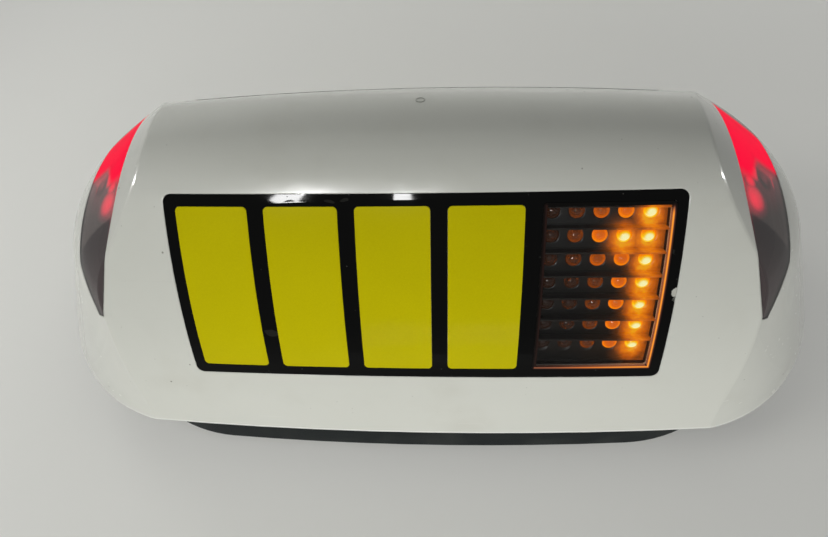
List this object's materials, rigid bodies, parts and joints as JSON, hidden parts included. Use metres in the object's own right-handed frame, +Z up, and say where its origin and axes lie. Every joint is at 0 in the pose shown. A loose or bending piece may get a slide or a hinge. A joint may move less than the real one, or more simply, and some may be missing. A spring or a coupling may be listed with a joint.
{
  "type": "taxi roof light",
  "caption": "Illuminated roof sign: domed off-white cover on a dark base pan, black sign panel and dot display on each long face, smoked lens over each end.",
  "frame": {"origin": "under the middle of the base, on the surface the light stands on", "axes": "+X along the sign, to the right as seen from the front; +Y from front to rear; +Z up"},
  "size_m": [0.4398, 0.2104, 0.1441],
  "materials": {
    "pan_plastic": "moulded, fine grain",
    "seal_rubber": "matt",
    "gland_plastic": "moulded",
    "cover_plastic": "off-white, satin, lightly scratched",
    "board_laminate": "green circuit board",
    "housing_plastic": "black, matt",
    "lamp_resin": "tinted resin, lit",
    "window_smoked": "smoked, glossy",
    "sign_black": "gloss black sheet",
    "pane_yellow": "translucent yellow, lit",
    "guide_orange": "tinted, glowing edge",
    "bracket_metal": "bent sheet",
    "reflector_metallised": "metallised cups",
    "lens_smoked": "smoked red, glossy"
  },
  "bodies": {
    "root": {"base_pan": "pan_plastic", "base_seal": "seal_rubber", "cable_glands": "gland_plastic", "cover_shell": "cover_plastic", "front_display_board": "board_laminate", "front_display_housing": "housing_plastic", "front_display_lamps": "lamp_resin", "front_display_window": "window_smoked", "front_sign_panel": "sign_black", "front_sign_panes": "pane_yellow", "front_visor_grille": "housing_plastic", "front_window_guide": "guide_orange", "left_end_lamps": "lamp_resin", "left_lamp_board": "board_laminate", "left_lamp_bracket": "bracket_metal", "left_lamp_strip": "reflector_metallised", "left_side_lens": "lens_smoked", "rear_display_board": "board_laminate", "rear_display_housing": "housing_plastic", "rear_display_lamps": "lamp_resin", "rear_display_window": "window_smoked", "rear_sign_panel": "sign_black", "rear_sign_panes": "pane_yellow", "rear_visor_grille": "housing_plastic", "rear_window_guide": "guide_orange", "right_end_lamps": "lamp_resin", "right_lamp_board": "board_laminate", "right_lamp_bracket": "bracket_metal", "right_lamp_strip": "reflector_metallised", "right_side_lens": "lens_smoked"}
  },
  "joints": []
}
